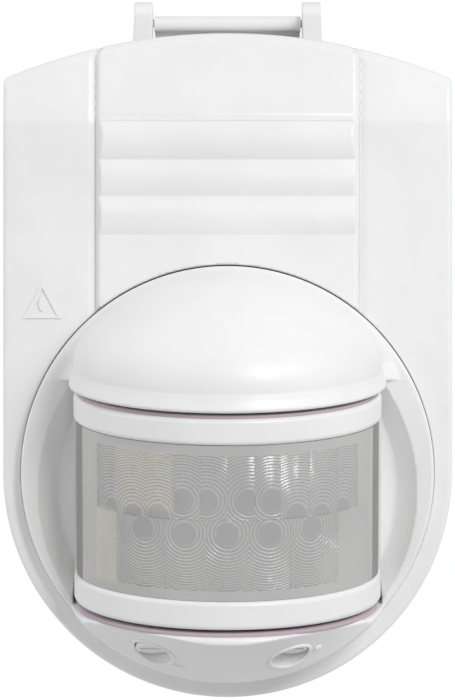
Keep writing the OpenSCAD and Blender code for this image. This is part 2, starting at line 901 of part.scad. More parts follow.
module head_seal() {
    color(rubber) slab(face_in_y, face_in_y + 0.4) difference() {
        translate([0, head_z]) circle(head_r + 0.29);
        translate([0, head_z]) circle(head_r + 0.01);
    }
}

module head_screws() {
    color(steel) for (a = lug_angles)
        screw(lug_r * cos(a), head_z + lug_r * sin(a), lug_y - 1.3, 2, 1.3, 0.95, 4.8);
}

module upper_bush() {
    color(inner_white) in_drum() translate([0, 0, hood_low]) ring(bush_r, stub_r + run_gap, 3);
}

module lower_bush() {
    color(inner_white) in_drum() translate([0, 0, chin_top - 2.4]) ring(bush_r, stub_r + run_gap, 2.4);
}

module friction_washer() {
    color(steel) in_drum() translate([0, 0, chin_top + 0.02]) ring(8.5, stub_r + 0.2, 0.62);
}

// ---------- Dials ----------

module dial_board() {
    low = well_depth + 0.6 + 1.1;
    color(board_green) at_dial(0) translate([-17, -7.5, -low - 0.8]) cube([32, 8, 0.8]);
}

module trimmer(x) {
    color(inner_white) at_dial(x) translate([0, 0, -well_depth - 1.7]) ring(2, 1.2, 1.1);
}

module time_trimmer() { trimmer(time_x); }
module lux_trimmer() { trimmer(lux_x); }

module dial(x) {
    color(white) at_dial(x) difference() {
        union() {
            translate([0, 0, -3.38]) cylinder(h = 1.5, r = dial_r);
            translate([0, 0, -well_depth - 1.4]) cylinder(h = 2.2, r = 1.1);
        }
        // screwdriver slot
        translate([-2.6, -0.5, -2.7]) cube([5.2, 1, 2]);
        // pointer notch
        translate([-0.4, 2.6, -2.3]) cube([0.8, 1.2, 1]);
    }
}

module time_dial() { dial(time_x); }
module lux_dial() { dial(lux_x); }

module dial_seal(x) {
    color(rubber) at_dial(x) translate([0, 0, -well_depth]) ring(3.2, 1.25, 0.3);
}

module time_dial_seal() { dial_seal(time_x); }
module lux_dial_seal() { dial_seal(lux_x); }

// ---------- Drum ----------

// Ring section with softly rounded outer edges, as radius and U
module ring_section(u0, u1) {
    edge = 1;
    thick = 1.8;
    translate([drum_r - thick, u0]) square([thick - edge, u1 - u0]);
    translate([drum_r - edge - 0.1, u0 + edge]) square([edge + 0.1, u1 - u0 - 2 * edge]);
    for (u = [u0 + edge, u1 - edge]) intersection() {
        translate([drum_r - edge, u]) circle(edge, $fn = 48);
        translate([drum_r - edge - 0.2, u0]) square([edge + 1, u1 - u0]);
    }
}

module drum_body() {
    plate = 1.6;
    rail_x = 17;
    color(white) in_drum() {
        difference() {
            union() {
                rotate_extrude($fn = 180) ring_section(drum_bottom, -lens_h / 2);
                translate([0, 0, drum_bottom]) cylinder(h = plate, r = drum_r - 1);
                translate([0, 0, -lens_h / 2 - 0.5]) difference() {
                    ring(drum_r, drum_r - 1.8, lens_h + 0.5);
                    wedge(strip_a, far);
                }
                translate([0, 0, drum_bottom - 3.4]) cylinder(h = 3.5, r = stub_r);
                // screw posts
                for (s = [-1, 1]) translate([s * 20, 12, drum_bottom + 1])
                    cylinder(h = drum_top - 1.6 - drum_bottom - 1, r = 2.4);
                // rails that hold the sensor board
                for (s = [-1, 1]) translate([s * rail_x - 2, sensor_board_y - 1.2, drum_bottom + 1])
                    cube([4, 3.6, 33]);
            }
            translate([0, 0, drum_bottom - 5]) cylinder(h = 8, r = stub_bore);
            translate([-rail_x, sensor_board_y, drum_bottom + 2.2]) cube([2 * rail_x, sensor_board_t, 40]);
            for (s = [-1, 1]) translate([s * 20, 12, 6]) cylinder(h = 20, r = 1);
        }
    }
}

module drum_cap() {
    plate = 1.6;
    color(white) in_drum() difference() {
        union() {
            rotate_extrude($fn = 180) ring_section(lens_h / 2, drum_top);
            translate([0, 0, drum_top - plate]) cylinder(h = plate, r = drum_r - 1);
            translate([0, 0, drum_top - 0.1]) cylinder(h = 4.9, r = stub_r);
        }
        translate([0, 0, drum_top - 5]) cylinder(h = 20, r = stub_bore);
        for (s = [-1, 1]) translate([s * 20, 12, drum_top - 5]) cylinder(h = 20, r = 1.15);
    }
}

module drum_screws() {
    color(steel) in_drum() for (s = [-1, 1]) translate([s * 20, 12, drum_top]) difference() {
        union() {
            cylinder(h = 0.9, r = 2);
            translate([0, 0, -10]) cylinder(h = 10.1, r = 0.95);
        }
        translate([-1.4, -0.25, 0.5]) cube([2.8, 0.5, 1]);
    }
}

module fresnel_lens() {
    color(lens_milk, 0.6) in_drum() intersection() {
        translate([0, 0, -lens_h / 2]) ring(lens_r, lens_r - lens_t, lens_h);
        wedge(lens_a, far);
    }
}

// side is -1 for left and 1 for right
module lens_strip(side) {
    color(strip_grey) in_drum() intersection() {
        translate([0, 0, -lens_h / 2]) ring(lens_r, lens_r - 1.4, lens_h);
        difference() {
            wedge(strip_a, far);
            wedge(lens_a, far + 2);
        }
        translate([side * far / 2, 0, 0]) cube([far, far, far], center = true);
    }
}

module left_lens_strip() { lens_strip(-1); }
module right_lens_strip() { lens_strip(1); }

// ---------- Sensor inside the drum ----------

module sensor_board() {
    color(board_green) in_drum() translate([-16.8, sensor_board_y + 0.05, drum_bottom + 2.3])
        cube([33.6, sensor_board_t - 0.1, 32]);
}

module infrared_sensor() {
    color(steel) in_drum() translate([0, sensor_board_y + 0.05, 0]) rotate([90, 0, 0]) {
        cylinder(h = 0.6, r = 4.6);
        difference() {
            cylinder(h = 4.1, r = 4.1);
            translate([-2.6, -2.1, 3.8]) cube([5.2, 4.2, 1]);
        }
    }
}

module sensor_window() {
    color([0.20, 0.18, 0.20]) in_drum() translate([-2.6, sensor_board_y - 4.05, -2.1])
        cube([5.2, 0.3, 4.2]);
}

module sensor_shroud() {
    color(inner_white) in_drum() translate([0, sensor_board_y + 0.05, 0]) rotate([90, 0, 0]) difference() {
        cylinder(h = 3.4, r1 = 7.4, r2 = 6.2);
        translate([0, 0, -1]) cylinder(h = 6, r = 4.7);
    }
}

module status_light() {
    color([0.85, 0.20, 0.15], 0.8) in_drum() translate([10, sensor_board_y + 0.05, -10]) rotate([90, 0, 0]) {
        cylinder(h = 2.6, r = 1.5);
        translate([0, 0, 2.6]) intersection() {
            sphere(1.5, $fn = 32);
            cylinder(h = 3, r = 3);
        }
    }
}

module daylight_sensor() {
    color([0.80, 0.55, 0.30]) in_drum() translate([-10, sensor_board_y + 0.05, -10]) rotate([90, 0, 0])
        cylinder(h = 2, r = 2.2);
}

module cable_socket() {
    color(inner_white) in_drum() difference() {
        translate([-4, -1.9, 9]) cube([8, 6.4, 4.5]);
        translate([-2.5, -1.2, 11]) cube([5, 3.4, 5]);
    }
}

module lead_plug() {
    color(chip_black) in_drum() {
        translate([-2.4, -1.1, 11.05]) cube([4.8, 3.2, 3.4]);
        translate([0, 0, 14.4]) cylinder(h = 1.2, r = 1.3);
    }
}

// Points of an arc in the Y-Z plane
function arc_points(c, r, start, sweep) =
    [for (i = [0:8]) c + r * [cos(start + sweep * i / 8), sin(start + sweep * i / 8)]];

// Round tube along a path of [Y, Z] points in the plane X = 0
module flat_tube(path, r) {
    sides = 10;
    last = len(path) - 1;
    points = [for (i = [0:last], k = [0:sides - 1])
        let (d = path[min(i + 1, last)] - path[max(i - 1, 0)],
             n = [d[1], -d[0]] / norm(d),
             a = 360 * k / sides)
        [r * cos(a), path[i][0] + r * sin(a) * n[0], path[i][1] + r * sin(a) * n[1]]];
    walls = [for (i = [0:last - 1], k = [0:sides - 1])
        let (n = (k + 1) % sides, low = i * sides, high = (i + 1) * sides)
        [low + n, low + k, high + k, high + n]];
    ends = [[for (k = [0:sides - 1]) k], [for (k = [sides - 1:-1:0]) last * sides + k]];
    polyhedron(points, concat(walls, ends));
}

// Lead from the main board, down behind the face, over the drum and into its hollow pivot
module sensor_lead() {
    lead_r = 1.3;
    bend = 5;
    run_u = 31;
    low_u = 15.7;
    out = [-cos(tilt), -sin(tilt)];
    up = [-sin(tilt), cos(tilt)];
    middle = [-drum_y, drum_z];
    top = [-board_y - board_t - 1.4, 32.1];
    corner_y = top[0] - bend + bend * sin(tilt);
    corner_z = drum_z + (run_u - (drum_y + corner_y) * -sin(tilt)) / cos(tilt);
    first = [top[0] - bend, corner_z + bend * cos(tilt)];
    second = middle + (run_u - bend) * up - bend * out;
    path = concat([top], arc_points(first, bend, 0, tilt - 90), arc_points(second, bend, 90 + tilt, 90),
                  [middle + low_u * up]);
    color([0.30, 0.30, 0.32]) flat_tube(path, lead_r);
}

wall_bracket();
hinge_pin();
front_cover();
rear_cover();
case_gasket();
case_screws();
lock_screw();
lock_nut();
battery_tray();
battery_cell_1();
battery_cell_2();
battery_cell_3();
battery_springs();
battery_contacts();
battery_door();
door_gasket();
door_screws();
main_board();
board_screws();
controller_chip();
radio_module();
antenna_coil();
capacitor();
switch_board();
push_switch();
learn_button();
slide_switch();
mode_slider();
head_shell();
head_seal();
head_screws();
upper_bush();
lower_bush();
friction_washer();
dial_board();
time_trimmer();
lux_trimmer();
time_dial();
lux_dial();
time_dial_seal();
lux_dial_seal();
drum_body();
drum_cap();
drum_screws();
fresnel_lens();
left_lens_strip();
right_lens_strip();
sensor_board();
infrared_sensor();
sensor_window();
sensor_shroud();
status_light();
daylight_sensor();
cable_socket();
sensor_lead();
lead_plug();
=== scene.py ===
"""Looks of an outdoor motion sensor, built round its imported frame.

Shells are written as distance fields in millimetres, with x to the right, d out of the
wall and z up, and are meshed in metres. The drum's own frame has `out` pointing out of
the lens and `u` running up its axis.
"""

import itertools
import math

import bmesh
import bpy
import numpy as np
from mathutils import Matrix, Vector


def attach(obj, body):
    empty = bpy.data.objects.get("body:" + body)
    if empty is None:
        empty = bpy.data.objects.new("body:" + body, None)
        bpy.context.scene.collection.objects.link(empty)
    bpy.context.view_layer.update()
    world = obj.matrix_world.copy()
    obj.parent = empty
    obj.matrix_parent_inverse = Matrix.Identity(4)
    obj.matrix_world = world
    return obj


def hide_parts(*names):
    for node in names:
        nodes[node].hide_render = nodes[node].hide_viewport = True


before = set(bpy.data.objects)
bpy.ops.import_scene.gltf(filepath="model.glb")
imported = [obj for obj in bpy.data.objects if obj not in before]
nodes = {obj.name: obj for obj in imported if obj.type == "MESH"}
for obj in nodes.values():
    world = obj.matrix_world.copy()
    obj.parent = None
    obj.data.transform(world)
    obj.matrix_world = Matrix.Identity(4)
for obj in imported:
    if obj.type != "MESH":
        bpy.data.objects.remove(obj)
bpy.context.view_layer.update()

# ---------- Sizes in millimetres ----------
# The outside follows the frame's source, apart from HEAD_GAP, HOOD_LOW, CHIN_TOP and WAY_R,
# which follow the photograph. HOLE_SHIFT, CHIN_RUN, CHIN_SAG, FLANK_W and the LIP_, GROOVE_
# and BEAD_ values shape details that only the visual model has. BUSH_REACH and HOOD_BACK_Y
# simplify hidden places.

MM = 0.001
HALF_W = 44.0
FACE_Y = 32.0
ROUND_Z = -21.2
CREST_Z = 65.3
ARCH_R = 112.0
CREASE_Z = 47.8
SLOPE = math.radians(12)
WALL = 2.2
TOP_BEVEL = 1.4
SHELL_Y = 5.6
FACE_IN_Y = FACE_Y - WALL

PANEL_HW = 25.2
PANEL_H = 1.2
RIB_PITCH = 7.4
RIB_BULGE = 0.9
RIB_COUNT = 3
FLANK_W = 0.7
GROOVE_D = 0.45
GROOVE_W = 1.0

HINGE_Y = 5.2
HINGE_Z = 68.6
EAR_X = 15.0
EAR_T = 3.7
EAR_R = 4.3
EAR_FOOT = [(5.8, 62.6), (24.5, 62.6), (26.0, 63.4), (9.07, 70.45), (5.8, 68.6)]
PIN_R = 0.8

HEAD_Z = -21.1
HEAD_R = 40.4
HEAD_GAP = 0.16
HOLE_SHIFT = 0.14
RING_Y = 35.5
RECESS_Z = -24.6
RECESS_R = 37.1
RECESS_D = 4.0
BEAD_R = 0.16
BEAD_SPAN = 30
BEAD_SUNK = 0.02
HOOD_H = 17.7
HOOD_LOW = 21.2
HOOD_PLATE = 1.5
HOOD_SIDE_R = 10.0
HOOD_BACK_Y = 26.0
DOME_INSET = 0.5
BRIM_R = 30.4
BRIM_TOP = 25.2
LIP_LEAN = math.radians(20)
LIP_ROUND = 1.0
LIP_DEPTH = 6
CHIN_TOP = -21.95
CHIN_PLATE = 1.2
CHIN_R = 30.5
CHIN_START_Y = 47.5
CHIN_ANGLE = math.radians(23.8)
CHIN_RUN = 22.0
CHIN_SAG = 1.0
SHELL_T = 2.0
SKIRT_Y = 24.4
FLOOR_T = 1.6
FLANGE_W = 1.1
WAY_R = 30.2
BUSH_R = 6.0
BUSH_CLEAR = 0.01
BUSH_REACH = 26
PLATE_BACK_Y = 29
LUG_R = 45.2
LUG_ANGLES = [35, 61, 119, 145]
LUG_Y = 25.0
LUG_T = 2
LUG_ROUND = 2.8
LUG_HOLE_R = 1.15
LUG_ROOT = 1.5
NOTCH_MIDDLE = (0, 24.6, 18.5)
NOTCH_HALF = (2.2, 4, 4.5)

TILT = math.radians(9.6)
DRUM_Y = 39.3
DRUM_Z = -25.1
DRUM_R = 29.9
DRUM_TOP = 20.2
LENS_R = 29.4
LENS_T = 0.9
LENS_H = 30.0
LENS_A = 72.0

WELL_Y = 53.8
WELL_Z = -56.2
WELL_R = 3.65
WELL_DEPTH = 3.7
WELL_TILT = math.radians(20)
WELL_WALL = 0.9
WELL_FLOOR = 0.6
TIME_X = -14.2
LUX_X = 12.0


# ---------- Distance fields ----------

def meet(a, b, r):
    """Inside both shapes, with their outer edge rounded to radius r."""
    return np.minimum(np.maximum(a, b), -r) + np.hypot(np.maximum(a + r, 0), np.maximum(b + r, 0))


def join(a, b, r):
    """Inside either shape, with a fillet of radius r between them."""
    return -meet(-a, -b, r)


def drum_frame(d, z):
    """How far out of the lens and how far up the drum axis a point is."""
    dd, dz = d - DRUM_Y, z - DRUM_Z
    return dd * math.cos(TILT) - dz * math.sin(TILT), dd * math.sin(TILT) + dz * math.cos(TILT)


def from_drum(x, out, u):
    """The scene position in metres of a point given in the drum frame."""
    d = DRUM_Y + out * np.cos(TILT) + u * np.sin(TILT)
    z = DRUM_Z - out * np.sin(TILT) + u * np.cos(TILT)
    return np.stack([x, -d, z], axis=-1) * MM


def well_frame(d, z):
    """How far along the well's floor and out of its mouth a point is."""
    dd, dz = d - WELL_Y, z - WELL_Z
    along = dd * math.cos(WELL_TILT) + dz * math.sin(WELL_TILT)
    out = dd * math.sin(WELL_TILT) - dz * math.cos(WELL_TILT)
    return along, out


def convex(px, py, corners):
    """Distance to a convex polygon whose corners run anticlockwise."""
    best = None
    for (x0, y0), (x1, y1) in zip(corners, corners[1:] + corners[:1]):
        length = math.hypot(x1 - x0, y1 - y0)
        side = ((px - x0) * (y1 - y0) - (py - y0) * (x1 - x0)) / length
        best = side if best is None else np.maximum(best, side)
    return best


def cover_face(x, d, z):
    """Front of the cover: flat below the crease and sloping above it, with the ribbed panel."""
    slope = (d - FACE_Y) * math.cos(SLOPE) + (z - CREASE_Z) * math.sin(SLOPE)
    face = meet(d - FACE_Y, slope, 0.12)
    across = np.abs(x) - PANEL_HW
    # the panel's flank runs down into a groove beside it
    steep = math.atan2(FLANK_W, PANEL_H + GROOVE_D)
    flank = across * math.cos(steep) + (face - PANEL_H) * math.sin(steep)
    rise = math.atan2(GROOVE_D, GROOVE_W)
    groove_wall = (across - FLANK_W) * math.sin(rise) - (face + GROOVE_D) * math.cos(rise)
    groove = np.maximum(-flank, groove_wall)
    # finger ribs
    rib_r = ((RIB_PITCH / 2) ** 2 + RIB_BULGE ** 2) / (2 * RIB_BULGE)
    rib_d = FACE_Y + PANEL_H + RIB_BULGE - rib_r
    ribs = None
    for i in range(RIB_COUNT):
        rib = np.hypot(d - rib_d, z - CREASE_Z + RIB_PITCH * (i + 0.5)) - rib_r
        ribs = rib if ribs is None else np.minimum(ribs, rib)
    ribs = np.maximum(ribs, np.maximum(z - CREASE_Z, CREASE_Z - RIB_COUNT * RIB_PITCH - z))
    panel = meet(np.minimum(face - PANEL_H, ribs), flank, 0.3)
    front = np.minimum(meet(face, -groove, 0.25), panel)
    # the panel ends behind the head
    return face, np.where(z > HEAD_Z, front, face)


def cover_field(x, d, z):
    """Hollow front cover with the round hole for the head."""
    sides = np.hypot(x, np.minimum(z - ROUND_Z, 0)) - HALF_W
    arch = np.hypot(x, z - (CREST_Z - ARCH_R)) - ARCH_R
    outline = meet(sides, arch, 1.0)
    face, front = cover_face(x, d, z)
    bevel = (arch + front + TOP_BEVEL) / math.sqrt(2)
    outer = meet(meet(sides, front, 0.8), arch, 0.5)
    outer = meet(outer, bevel, 0.35)
    inner = np.maximum(outline, face) + WALL
    hole = np.hypot(x, z - HEAD_Z - HOLE_SHIFT) - (HEAD_R + HEAD_GAP)
    shell = np.maximum(np.maximum(outer, -inner), SHELL_Y - d)
    return meet(shell, -hole, 0.25)


def ear_field(x, d, z):
    """One hinge ear, drawn at the right-hand side."""
    blade = np.minimum(np.hypot(d - HINGE_Y, z - HINGE_Z) - EAR_R, convex(d, z, EAR_FOOT))
    ear = meet(blade, np.abs(x - EAR_X - EAR_T / 2) - EAR_T / 2, 0.35)
    pin = np.hypot(d - HINGE_Y, z - HINGE_Z) - PIN_R
    return meet(ear, -pin, 0.1)


def hood_profile(rho, u, t):
    """Dome over the drum, t inside its outer face."""
    dome_r = BRIM_R - DOME_INSET
    side_rho = dome_r - HOOD_SIDE_R
    top_r = (side_rho ** 2 + HOOD_H ** 2 - HOOD_SIDE_R ** 2) / (2 * (HOOD_H - HOOD_SIDE_R))
    top_u = BRIM_TOP + HOOD_H - top_r
    side = np.hypot(rho - side_rho, u - BRIM_TOP) - HOOD_SIDE_R
    top = np.hypot(rho, u - top_u) - top_r
    on_side = rho * (BRIM_TOP - top_u) > (u - top_u) * side_rho
    return np.where(u < BRIM_TOP, rho - dome_r, np.where(on_side, side, top)) + t


def chin_field(rad, d):
    """Hollowed cone under the chin, from its lip down to the head's edge."""
    beyond, ahead = rad - HEAD_R, d - CHIN_START_Y
    cone = beyond * math.cos(CHIN_ANGLE) + ahead * math.sin(CHIN_ANGLE)
    along = (ahead * math.cos(CHIN_ANGLE) - beyond * math.sin(CHIN_ANGLE)) / CHIN_RUN
    return cone + CHIN_SAG * (1 - np.minimum((2 * along - 1) ** 2, 1))


def screw_lug(x, d, z, degrees):
    """One lug with its screw hole, behind the cover's edge."""
    turn = math.radians(degrees)
    along = x * math.cos(turn) + (z - HEAD_Z) * math.sin(turn)
    aside = x * math.sin(turn) - (z - HEAD_Z) * math.cos(turn)
    reach = along - np.clip(along, HEAD_R - LUG_ROOT, LUG_R)
    lug_mid = LUG_Y + LUG_T / 2
    lug = np.maximum(np.hypot(reach, aside) - LUG_ROUND, np.abs(d - lug_mid) - LUG_T / 2)
    return np.maximum(lug, LUG_HOLE_R - np.hypot(along - LUG_R, aside))


def head_outside(x, d, z):
    """Ring, hood, chin, flange and lugs of the head, still solid."""
    rad = np.hypot(x, z - HEAD_Z)
    out, u = drum_frame(d, z)
    rho = np.hypot(x, np.maximum(out, 0))
    lip_half = (BRIM_TOP - HOOD_LOW) / 2
    lip_u = u - HOOD_LOW - lip_half
    lip_face = (rho - BRIM_R) * math.cos(LIP_LEAN) + lip_u * math.sin(LIP_LEAN)
    lip = np.maximum(meet(lip_face, np.abs(lip_u) - lip_half, LIP_ROUND), BRIM_R - LIP_DEPTH - rho)
    hood = np.maximum(join(hood_profile(rho, u, 0), lip, 0.4), -u)
    chin = np.maximum(meet(chin_field(rad, d), rho - CHIN_R, 0.2), u)
    front = join(join(d - RING_Y, hood, 3.0), chin, 1.0)
    head = np.maximum(meet(rad - HEAD_R, front, 0.6), SKIRT_Y - d)
    flange = np.maximum(rad - HEAD_R - FLANGE_W, np.abs(d - FACE_IN_Y + FLANGE_W) - FLANGE_W)
    head = np.minimum(head, flange)
    for degrees in LUG_ANGLES:
        head = np.minimum(head, screw_lug(x, d, z, degrees))
    return head


def head_mouth(u):
    """The gap between hood and chin."""
    return np.maximum(u - HOOD_LOW, CHIN_TOP - u)


def recess_bowl(x, d, z):
    """Recess round the drum, and the space in front of it."""
    cone_cut = (np.hypot(x, z - RECESS_Z) - RECESS_R + RING_Y - d) / math.sqrt(2)
    return meet(np.minimum(cone_cut, RING_Y - d), RING_Y - RECESS_D - d, 0.3)


def head_hollow(x, d, z):
    """Room inside the head, behind its walls, the recess's floor and the plates at the drum."""
    rad = np.hypot(x, z - HEAD_Z)
    out, u = drum_frame(d, z)
    rho = np.hypot(x, np.maximum(out, 0))
    hollow = np.maximum(rad - HEAD_R, d - RING_Y) + SHELL_T
    hood_in = np.maximum(hood_profile(rho, u, SHELL_T), HOOD_LOW + HOOD_PLATE - u)
    hood_in = np.maximum(hood_in, HOOD_BACK_Y - d)
    chin_in = np.maximum(np.maximum(chin_field(rad, d), rad - HEAD_R), rho - CHIN_R) + SHELL_T
    chin_in = np.maximum(chin_in, u - CHIN_TOP + CHIN_PLATE)
    hollow = np.minimum(hollow, np.minimum(hood_in, chin_in))
    plates = np.maximum(u - HOOD_LOW - HOOD_PLATE, CHIN_TOP - CHIN_PLATE - u)
    hollow = np.maximum(hollow, -np.maximum(recess_bowl(x, d, z) - FLOOR_T, plates))
    solid_plates = np.maximum(plates, -head_mouth(u))
    return np.maximum(hollow, -np.maximum(solid_plates, PLATE_BACK_Y - d))


def drum_way(x, d, z):
    """Ways through the head for the drum, its two bushes and the lead."""
    out, u = drum_frame(d, z)
    axle = np.hypot(x, out)
    floor_d = RING_Y - RECESS_D
    way = np.minimum(axle - WAY_R, np.maximum(np.abs(x) - WAY_R, d - floor_d + FLOOR_T))
    bore = np.maximum(axle - BUSH_R - BUSH_CLEAR, np.abs(u) - BUSH_REACH)
    sides = [np.abs(at - middle) - half for at, middle, half in zip((x, d, z), NOTCH_MIDDLE, NOTCH_HALF)]
    notch = np.maximum(np.maximum(sides[0], sides[1]), sides[2])
    return np.minimum(np.minimum(np.maximum(way, head_mouth(u)), bore), notch)


def head_field(x, d, z):
    """Head shell: the outside less the mouth, the hollow, the drum's way and the dial wells."""
    mouth = head_mouth(drum_frame(d, z)[1])
    edge_r = 0.15 + 0.65 * np.clip((d - RING_Y) / 4, 0, 1)
    head = meet(head_outside(x, d, z), -meet(recess_bowl(x, d, z), mouth, 0.4), edge_r)
    head = np.maximum(head, -head_hollow(x, d, z))
    head = np.maximum(head, -drum_way(x, d, z))

    # wells for the dials; their raised rims are pieces of their own
    cone = chin_field(np.hypot(x, z - HEAD_Z), d)
    u = drum_frame(d, z)[1]
    along, well_out = well_frame(d, z)
    for well_x in (TIME_X, LUX_X):
        round_well = np.hypot(x - well_x, along)
        wall = np.maximum(round_well - WELL_R - WELL_WALL, -WELL_DEPTH - WELL_FLOOR - well_out)
        head = np.minimum(head, np.maximum(wall, np.maximum(cone + 0.05, u - CHIN_TOP + 1)))
        head = np.maximum(head, -np.maximum(round_well - WELL_R, -WELL_DEPTH - well_out))
    return head


# ---------- Meshing ----------

def sample(field, low, counts, step):
    """Field values on a grid of whole blocks, exact only in the blocks near the surface."""
    block = 4
    blocks = [-(-n // block) for n in counts]
    cell = block * step
    middles = [low[i] + (np.arange(blocks[i]) + 0.5) * cell - step / 2 for i in range(3)]
    coarse = field(*np.meshgrid(*middles, indexing="ij")).astype(np.float32)
    values = coarse
    for axis in range(3):
        values = np.repeat(values, block, axis=axis)
    near = np.argwhere(np.abs(coarse) < cell * 0.87 + 2 * step)
    offsets = np.array(list(itertools.product(range(block), repeat=3)))
    batch = 20000
    for start in range(0, len(near), batch):
        at = (near[start:start + batch, None, :] * block + offsets[None]).reshape(-1, 3)
        found = field(*(low[i] + at[:, i] * step for i in range(3)))
        values[at[:, 0], at[:, 1], at[:, 2]] = found
    return values


def net(values):
    """Vertices in grid units and quads of the surface where the values change sign."""
    inside = values < 0
    shape = np.array(values.shape)
    corners = np.zeros(shape - 1, np.uint8)
    for c in itertools.product((0, 1), repeat=3):
        corners += inside[tuple(slice(c[i], shape[i] - 1 + c[i]) for i in range(3))]
    cells = np.argwhere((corners > 0) & (corners < 8))
    index = np.full(shape - 1, -1, np.int64)
    index[tuple(cells.T)] = np.arange(len(cells))
    total, hits = np.zeros((len(cells), 3)), np.zeros(len(cells))
    for axis in range(3):
        unit = np.eye(3, dtype=int)[axis]
        for c in itertools.product((0, 1), repeat=3):
            if c[axis]:
                continue
            a = values[tuple((cells + c).T)].astype(float)
            b = values[tuple((cells + c + unit).T)].astype(float)
            crosses = (a < 0) != (b < 0)
            share = np.where(crosses, a / np.where(crosses, a - b, 1), 0)
            total += np.where(crosses[:, None], np.array(c) + share[:, None] * unit, 0)
            hits += crosses
    points = cells + total / hits[:, None]
    quads = []
    for axis in range(3):
        unit, one, two = (np.eye(3, dtype=int)[(axis + k) % 3] for k in range(3))
        low = tuple(slice(0, shape[i] - unit[i]) for i in range(3))
        high = tuple(slice(unit[i], shape[i]) for i in range(3))
        edges = np.argwhere(inside[low] != inside[high])
        ok = np.all((edges >= one + two) & (edges < shape - 1), axis=1)
        edges = edges[ok]
        ring = [edges, edges - one, edges - one - two, edges - two]
        quads.append(np.stack([index[tuple(e.T)] for e in ring], axis=1))
    return points, np.concatenate(quads)


def slopes(field, p, reach=0.02):
    """Direction in which the field grows at each point."""
    grown = []
    for axis in range(3):
        step = np.zeros(3)
        step[axis] = reach
        grown.append(field(*(p + step).T) - field(*(p - step).T))
    g = np.stack(grown, axis=1)
    return g / np.maximum(np.linalg.norm(g, axis=1), 1e-9)[:, None]


def sculpt(name, field, low, high, step, flat=0.0):
    """Mesh of a field, with its vertices moved onto the true surface and exact normals."""
    low = np.array(low, float)
    counts = [int(math.ceil((high[i] - low[i]) / step)) + 1 for i in range(3)]
    points, quads = net(sample(field, low, counts, step))
    points = low + points * step
    for _ in range(3):
        move = np.clip(field(*points.T), -step / 2, step / 2)
        points -= move[:, None] * slopes(field, points)
    grown = slopes(field, points)
    p = [points[quads[:, k]] for k in range(4)]
    facing = np.cross(p[2] - p[0], p[3] - p[1])
    back = np.einsum("ij,ij->i", facing, grown[quads].mean(axis=1)) > 0
    quads[back] = quads[back][:, ::-1]  # d points against y, which turns every face round
    mesh = bpy.data.meshes.new(name)
    to_scene = np.array([1, -1, 1])
    mesh.from_pydata(points * to_scene * MM, [], quads)
    if flat:
        work = bmesh.new()
        work.from_mesh(mesh)
        bmesh.ops.dissolve_limit(work, angle_limit=math.radians(flat),
                                 verts=work.verts, edges=work.edges)
        work.to_mesh(mesh)
        work.free()
    set_normals(mesh, field)
    return mesh


def set_normals(mesh, field):
    """Smooth shading with the field's own normals."""
    co = np.zeros(len(mesh.vertices) * 3)
    mesh.vertices.foreach_get("co", co)
    p = co.reshape(-1, 3) / MM * np.array([1, -1, 1])
    mesh.shade_smooth()
    mesh.normals_split_custom_set_from_vertices(slopes(field, p) * np.array([1, -1, 1]))


def piece(name, mesh, body, slot, material, *replaced):
    """Puts a mesh into the scene as a named piece on a body."""
    obj = bpy.data.objects.new(name, mesh)
    bpy.context.scene.collection.objects.link(obj)
    mesh.materials.append(material)
    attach(obj, body)
    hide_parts(*replaced)


# ---------- Materials ----------

def new_material(name):
    """A material with its node tree and its shader."""
    m = bpy.data.materials.new(name)
    m.use_nodes = True
    tree = m.node_tree
    return m, tree, tree.nodes["Principled BSDF"]


def add(tree, kind, **values):
    """A node with its settings, and its inputs given as in_Name."""
    node = tree.nodes.new(kind)
    for key, value in values.items():
        if key.startswith("in_"):
            node.inputs[key[3:].replace("_", " ")].default_value = value
        else:
            setattr(node, key, value)
    return node


def noise(tree, scale, detail=3.0):
    """Noise fixed to the object, from 0 to 1."""
    where = add(tree, "ShaderNodeTexCoord")
    node = add(tree, "ShaderNodeTexNoise", in_Scale=scale, in_Detail=detail)
    tree.links.new(where.outputs["Object"], node.inputs["Vector"])
    return node.outputs["Fac"]


def ramp(tree, source, low, high, start=0.35, end=0.65):
    """Stretches source from start..end to low..high."""
    node = add(tree, "ShaderNodeMapRange")
    for key, value in (("From Min", start), ("From Max", end), ("To Min", low), ("To Max", high)):
        node.inputs[key].default_value = value
    tree.links.new(source, node.inputs["Value"])
    return node.outputs["Result"]


def tint(tree, factor, first, second):
    """Colour between first and second."""
    node = add(tree, "ShaderNodeMix", data_type="RGBA")
    node.inputs[6].default_value = (*first, 1)
    node.inputs[7].default_value = (*second, 1)
    tree.links.new(factor, node.inputs[0])
    return node.outputs[2]


def moulded(name, colour, rough=0.4, grain=0.25, grain_scale=2600, vary=0.02, metal=0.0, wear=0.05):
    """Moulded or plated surface: fine grain, soft colour clouds and paler edges."""
    m, tree, shader = new_material(name)
    pale = [min(1, c * (1 + vary)) for c in colour]
    dark = [c * (1 - vary) for c in colour]
    clouds = tint(tree, ramp(tree, noise(tree, 60), 0, 1), dark, pale)
    edge = add(tree, "ShaderNodeNewGeometry").outputs["Pointiness"]
    worn = ramp(tree, edge, 0, wear, 0.52, 0.6)
    mix = add(tree, "ShaderNodeMix", data_type="RGBA")
    mix.inputs[7].default_value = (1, 1, 1, 1)
    tree.links.new(worn, mix.inputs[0])
    tree.links.new(clouds, mix.inputs[6])
    tree.links.new(mix.outputs[2], shader.inputs["Base Color"])
    tree.links.new(ramp(tree, noise(tree, 180), rough - 0.05, rough + 0.05), shader.inputs["Roughness"])
    shader.inputs["Metallic"].default_value = metal
    bump = add(tree, "ShaderNodeBump", in_Strength=grain, in_Distance=0.00002)
    tree.links.new(noise(tree, grain_scale, 4.0), bump.inputs["Height"])
    tree.links.new(bump.outputs["Normal"], shader.inputs["Normal"])
    return m


WARM_TINT = (1.14, 1.12, 1.03)


